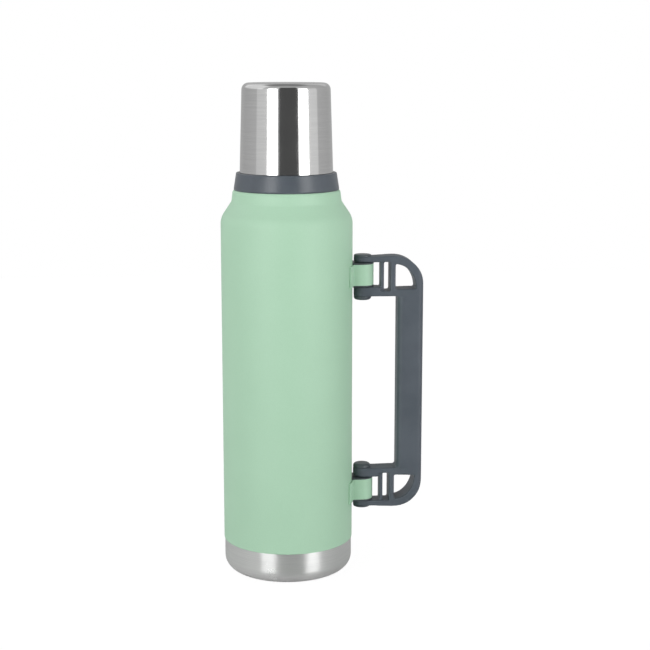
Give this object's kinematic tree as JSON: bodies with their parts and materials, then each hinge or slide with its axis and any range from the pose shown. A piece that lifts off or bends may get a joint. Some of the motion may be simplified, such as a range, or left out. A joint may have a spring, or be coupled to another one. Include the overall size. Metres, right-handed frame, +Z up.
{
  "type": "vacuum flask",
  "caption": "Double-walled steel vacuum flask with a coated body, screw-on steel cup, pour-through screw stopper and a fold-away side handle.",
  "frame": {"origin": "centre of the resting face, on the flask's axis", "axes": "+Z up along the flask's axis, +X from the axis towards the handle at rest, +Y completes the right-handed set"},
  "size_m": [0.1483, 0.096, 0.3609],
  "materials": {
    "coated_steel": "mint green powder coat, fine satin grain",
    "base_steel": "spun and brushed round",
    "cup_steel": "finely brushed, almost bright",
    "inner_steel": "electropolished inside",
    "foil": "bright foil",
    "getter_alloy": "pressed powder",
    "seal_glass": "fused bead",
    "collar_plastic": "slate grey, satin moulded",
    "handle_plastic": "slate grey, fine spark texture",
    "hinge_plastic": "dark slate, moulded",
    "pin_steel": "ground",
    "lining_plastic": "satin moulded",
    "stopper_plastic": "satin moulded",
    "foam": "rigid insulating foam",
    "silicone": "translucent white silicone",
    "dark_silicone": "dark grey silicone"
  },
  "bodies": {
    "flask": {"outer_shell": "coated_steel", "base_cup": "base_steel", "shell_bottom": "inner_steel", "inner_liner": "inner_steel", "radiation_foil": "foil", "getter": "getter_alloy", "vacuum_plug": "seal_glass", "neck_collar": "collar_plastic", "collar_seal": "dark_silicone", "upper_bracket": "coated_steel", "lower_bracket": "coated_steel", "upper_hinge_block": "hinge_plastic", "lower_hinge_block": "hinge_plastic"},
    "handle": {"handle_frame": "handle_plastic", "hinge_pins": "pin_steel", "pin_caps": "handle_plastic"},
    "cup_seal": {"cup_gasket": "dark_silicone"},
    "cup": {"cup_shell": "cup_steel", "cup_liner": "lining_plastic"},
    "stopper_seal": {"stopper_gasket": "silicone"},
    "stopper": {"stopper_body": "stopper_plastic", "stopper_core": "foam", "stopper_knob": "stopper_plastic"}
  },
  "joints": [
    {"name": "handle_fold", "type": "hinge", "parent": "flask", "child": "handle", "pos_m": [0.0558, 0, 0.1406], "axis": [0, 0, 1], "range_deg": [-90, 90]},
    {"name": "cup_rise", "type": "slide", "parent": "flask", "child": "cup_seal", "axis": [0, 0, 1], "range_m": [0, 0.0361]},
    {"name": "cup_turn", "type": "hinge", "parent": "cup_seal", "child": "cup", "pos_m": [0, 0, 0.2969], "axis": [0, 0, 1], "range_deg": [0, 1080]},
    {"name": "stopper_rise", "type": "slide", "parent": "flask", "child": "stopper_seal", "axis": [0, 0, 1], "range_m": [0, 0.0351]},
    {"name": "stopper_turn", "type": "hinge", "parent": "stopper_seal", "child": "stopper", "pos_m": [0, 0, 0.3], "axis": [0, 0, 1], "range_deg": [0, 1260]}
  ],
  "couplings": [
    {"joint": "cup_rise", "follows": "cup_turn", "m_per_rad": 0.0019099},
    {"joint": "stopper_rise", "follows": "stopper_turn", "m_per_rad": 0.0015915}
  ]
}
